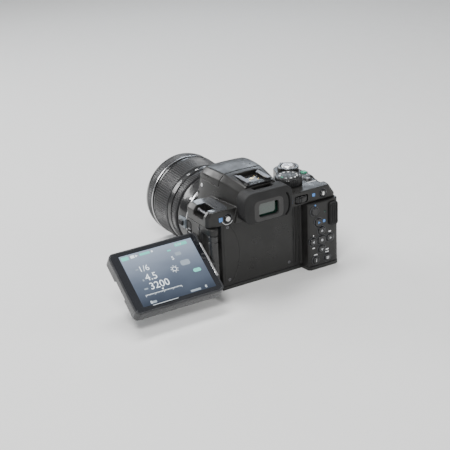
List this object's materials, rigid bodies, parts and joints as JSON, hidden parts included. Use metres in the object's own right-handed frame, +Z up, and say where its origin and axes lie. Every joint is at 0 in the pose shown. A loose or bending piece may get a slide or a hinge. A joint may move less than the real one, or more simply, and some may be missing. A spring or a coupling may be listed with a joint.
{
  "type": "dslr camera",
  "caption": "Digital reflex camera with a swing-out tilting screen, prism housing, grip, dials and keys, and a zoom lens whose barrel extends as its ring turns.",
  "frame": {"origin": "on the base plane, below the optical axis, in the plane of the image sensor", "axes": "+X to the right of someone holding it to the eye, +Y forward along the optical axis, +Z up"},
  "size_m": [0.2037, 0.1591, 0.093],
  "materials": {
    "body_black": "fine-textured black moulded shell",
    "rubber_black": "soft black grained rubber",
    "control_black": "smooth black control",
    "metal": "bright machined steel",
    "dark_metal": "dark painted steel",
    "glass": "coated optical glass",
    "screen": "glossy display cover",
    "silver_button": "silver satin control",
    "green": "green control",
    "board": "green circuit board",
    "frame_metal": "cast light alloy"
  },
  "bodies": {
    "camera_body": {"front_cover": "body_black", "rear_cover": "body_black", "top_cover": "body_black", "bottom_cover": "body_black", "grip_skin": "rubber_black", "thumb_rest": "rubber_black", "hot_shoe": "dark_metal", "eyecup": "rubber_black", "eyepiece_lens": "glass", "mirror_box": "frame_metal", "shutter_unit": "dark_metal", "image_sensor": "glass", "main_board": "board", "pentaprism": "glass", "battery": "dark_metal", "tripod_socket": "metal", "strap_bar_left": "metal", "strap_bar_right": "metal", "lens_mount_ring": "metal", "lens_base": "body_black", "rear_glass": "glass"},
    "screen_arm": {"screen_arm": "body_black"},
    "tilt_shaft": {"tilt_shaft": "metal"},
    "tilt_stop": {"tilt_stop_ring": "metal"},
    "screen": {"screen_housing": "body_black", "screen_glass": "screen"},
    "flash_head": {"flash_head": "body_black", "flash_window": "glass"},
    "main_mirror": {"main_mirror": "metal"},
    "mode_dial": {"mode_dial": "control_black"},
    "power_lever": {"power_lever": "control_black"},
    "rear_wheel": {"rear_wheel": "control_black"},
    "front_wheel": {"front_wheel": "control_black"},
    "zoom_ring": {"zoom_ring": "rubber_black"},
    "inner_barrel": {"inner_barrel": "body_black", "front_glass": "glass"},
    "focus_ring": {"focus_ring": "rubber_black"},
    "focus_switch": {"focus_switch": "control_black"},
    "diopter_slider": {"diopter_slider": "control_black"},
    "battery_door": {"battery_door": "body_black"},
    "card_door": {"card_door": "rubber_black"},
    "port_door_upper": {"port_door_upper": "rubber_black"},
    "port_door_lower": {"port_door_lower": "rubber_black"},
    "shutter_button": {"shutter_button": "silver_button"},
    "green_button": {"green_button": "green"},
    "exposure_button": {"exposure_button": "control_black"},
    "flash_button": {"flash_button": "control_black"},
    "raw_button": {"raw_button": "silver_button"},
    "play_button": {"play_button": "control_black"},
    "focus_lock_button": {"focus_lock_button": "control_black"},
    "ok_button": {"ok_button": "control_black"},
    "arrow_up": {"arrow_up": "control_black"},
    "arrow_down": {"arrow_down": "control_black"},
    "arrow_left": {"arrow_left": "control_black"},
    "arrow_right": {"arrow_right": "control_black"},
    "info_button": {"info_button": "control_black"},
    "menu_button": {"menu_button": "control_black"},
    "lens_release_button": {"lens_release_button": "control_black"}
  },
  "joints": [
    {"name": "display_swing", "type": "hinge", "parent": "camera_body", "child": "screen_arm", "pos_m": [-0.0435, -0.0155, 0.0315], "axis": [0, 0, -1], "range_deg": [-180, 0]},
    {"name": "display_level", "type": "hinge", "parent": "screen_arm", "child": "tilt_shaft", "pos_m": [-0.0435, -0.0155, 0.0315], "axis": [1, 0, 0], "range_deg": [0, 55]},
    {"name": "display_tilt_down", "type": "hinge", "parent": "tilt_shaft", "child": "tilt_stop", "pos_m": [-0.0435, -0.0155, 0.0315], "axis": [1, 0, 0], "range_deg": [0, 145]},
    {"name": "display_tilt_up", "type": "hinge", "parent": "tilt_stop", "child": "screen", "pos_m": [-0.0435, -0.0155, 0.0315], "axis": [-1, 0, 0], "range_deg": [0, 125]},
    {"name": "flash_popup", "type": "hinge", "parent": "camera_body", "child": "flash_head", "pos_m": [0, 0.0088, 0.0931], "axis": [1, 0, 0], "range_deg": [0, 50]},
    {"name": "mirror_flip", "type": "hinge", "parent": "camera_body", "child": "main_mirror", "pos_m": [0, 0.0094, 0.0536], "axis": [1, 0, 0], "range_deg": [0, 45]},
    {"name": "mode_dial_turn", "type": "hinge", "parent": "camera_body", "child": "mode_dial", "pos_m": [0.042, 0.005, 0.074], "axis": [0, 0, 1], "continuous": true},
    {"name": "power_lever_turn", "type": "hinge", "parent": "camera_body", "child": "power_lever", "pos_m": [0.06, 0.033, 0.073], "axis": [0, 0, 1], "range_deg": [-30, 30]},
    {"name": "wheel_rear_turn", "type": "hinge", "parent": "camera_body", "child": "rear_wheel", "pos_m": [0.04, -0.011, 0.065], "axis": [0, 0, 1], "continuous": true},
    {"name": "wheel_front_turn", "type": "hinge", "parent": "camera_body", "child": "front_wheel", "pos_m": [0.062, 0.041, 0.065], "axis": [0, 0, 1], "continuous": true},
    {"name": "lens_zoom_turn", "type": "hinge", "parent": "camera_body", "child": "zoom_ring", "pos_m": [0, 0.088, 0.039], "axis": [0, 1, 0], "range_deg": [0, 70]},
    {"name": "lens_extend", "type": "slide", "parent": "camera_body", "child": "inner_barrel", "axis": [0, 1, 0], "range_m": [0, 0.0251]},
    {"name": "lens_focus_turn", "type": "hinge", "parent": "camera_body", "child": "focus_ring", "pos_m": [0, 0.068, 0.039], "axis": [0, 1, 0], "range_deg": [-50, 50]},
    {"name": "lens_switch_slide", "type": "slide", "parent": "camera_body", "child": "focus_switch", "axis": [0, 1, 0], "range_m": [-0.002, 0.002]},
    {"name": "diopter_slide", "type": "slide", "parent": "camera_body", "child": "diopter_slider", "axis": [1, 0, 0], "range_m": [-0.003, 0.003]},
    {"name": "battery_door_swing", "type": "hinge", "parent": "camera_body", "child": "battery_door", "pos_m": [0.04965, 0.022, 0], "axis": [0, 1, 0], "range_deg": [0, 95]},
    {"name": "card_door_swing", "type": "hinge", "parent": "camera_body", "child": "card_door", "pos_m": [0.0751, 0.00165, 0.028], "axis": [0, 0, -1], "range_deg": [0, 95]},
    {"name": "port_door_upper_swing", "type": "hinge", "parent": "camera_body", "child": "port_door_upper", "pos_m": [-0.0481, 0.01845, 0.0485], "axis": [0, 0, -1], "range_deg": [0, 95]},
    {"name": "port_door_lower_swing", "type": "hinge", "parent": "camera_body", "child": "port_door_lower", "pos_m": [-0.0481, 0.01845, 0.0215], "axis": [0, 0, -1], "range_deg": [0, 95]},
    {"name": "press_shutter", "type": "slide", "parent": "camera_body", "child": "shutter_button", "axis": [0, 0, -1], "range_m": [0, 0.0008], "stiffness_N_per_m": 400},
    {"name": "press_green", "type": "slide", "parent": "camera_body", "child": "green_button", "axis": [0, 0, -1], "range_m": [0, 0.0008], "stiffness_N_per_m": 400},
    {"name": "press_exposure", "type": "slide", "parent": "camera_body", "child": "exposure_button", "axis": [0, 0, -1], "range_m": [0, 0.0008], "stiffness_N_per_m": 400},
    {"name": "press_flash", "type": "slide", "parent": "camera_body", "child": "flash_button", "axis": [0, 1, 0], "range_m": [0, 0.0009], "stiffness_N_per_m": 400},
    {"name": "press_raw", "type": "slide", "parent": "camera_body", "child": "raw_button", "axis": [0, 1, 0], "range_m": [0, 0.0009], "stiffness_N_per_m": 400},
    {"name": "press_play", "type": "slide", "parent": "camera_body", "child": "play_button", "axis": [0, 1, 0], "range_m": [0, 0.0009], "stiffness_N_per_m": 400},
    {"name": "press_focus_lock", "type": "slide", "parent": "camera_body", "child": "focus_lock_button", "axis": [0, 1, 0], "range_m": [0, 0.0009], "stiffness_N_per_m": 400},
    {"name": "press_ok", "type": "slide", "parent": "camera_body", "child": "ok_button", "axis": [0, 1, 0], "range_m": [0, 0.0009], "stiffness_N_per_m": 400},
    {"name": "press_arrow_up", "type": "slide", "parent": "camera_body", "child": "arrow_up", "axis": [0, 1, 0], "range_m": [0, 0.0009], "stiffness_N_per_m": 400},
    {"name": "press_arrow_down", "type": "slide", "parent": "camera_body", "child": "arrow_down", "axis": [0, 1, 0], "range_m": [0, 0.0009], "stiffness_N_per_m": 400},
    {"name": "press_arrow_left", "type": "slide", "parent": "camera_body", "child": "arrow_left", "axis": [0, 1, 0], "range_m": [0, 0.0009], "stiffness_N_per_m": 400},
    {"name": "press_arrow_right", "type": "slide", "parent": "camera_body", "child": "arrow_right", "axis": [0, 1, 0], "range_m": [0, 0.0009], "stiffness_N_per_m": 400},
    {"name": "press_info", "type": "slide", "parent": "camera_body", "child": "info_button", "axis": [0, 1, 0], "range_m": [0, 0.0009], "stiffness_N_per_m": 400},
    {"name": "press_menu", "type": "slide", "parent": "camera_body", "child": "menu_button", "axis": [0, 1, 0], "range_m": [0, 0.0009], "stiffness_N_per_m": 400},
    {"name": "press_lens_release", "type": "slide", "parent": "camera_body", "child": "lens_release_button", "axis": [0, -1, 0], "range_m": [0, 0.0015], "stiffness_N_per_m": 400}
  ],
  "couplings": [
    {"joint": "display_level", "follows": "display_swing", "ratio": -0.30556},
    {"joint": "lens_extend", "follows": "lens_zoom_turn", "m_per_rad": 0.0204}
  ]
}
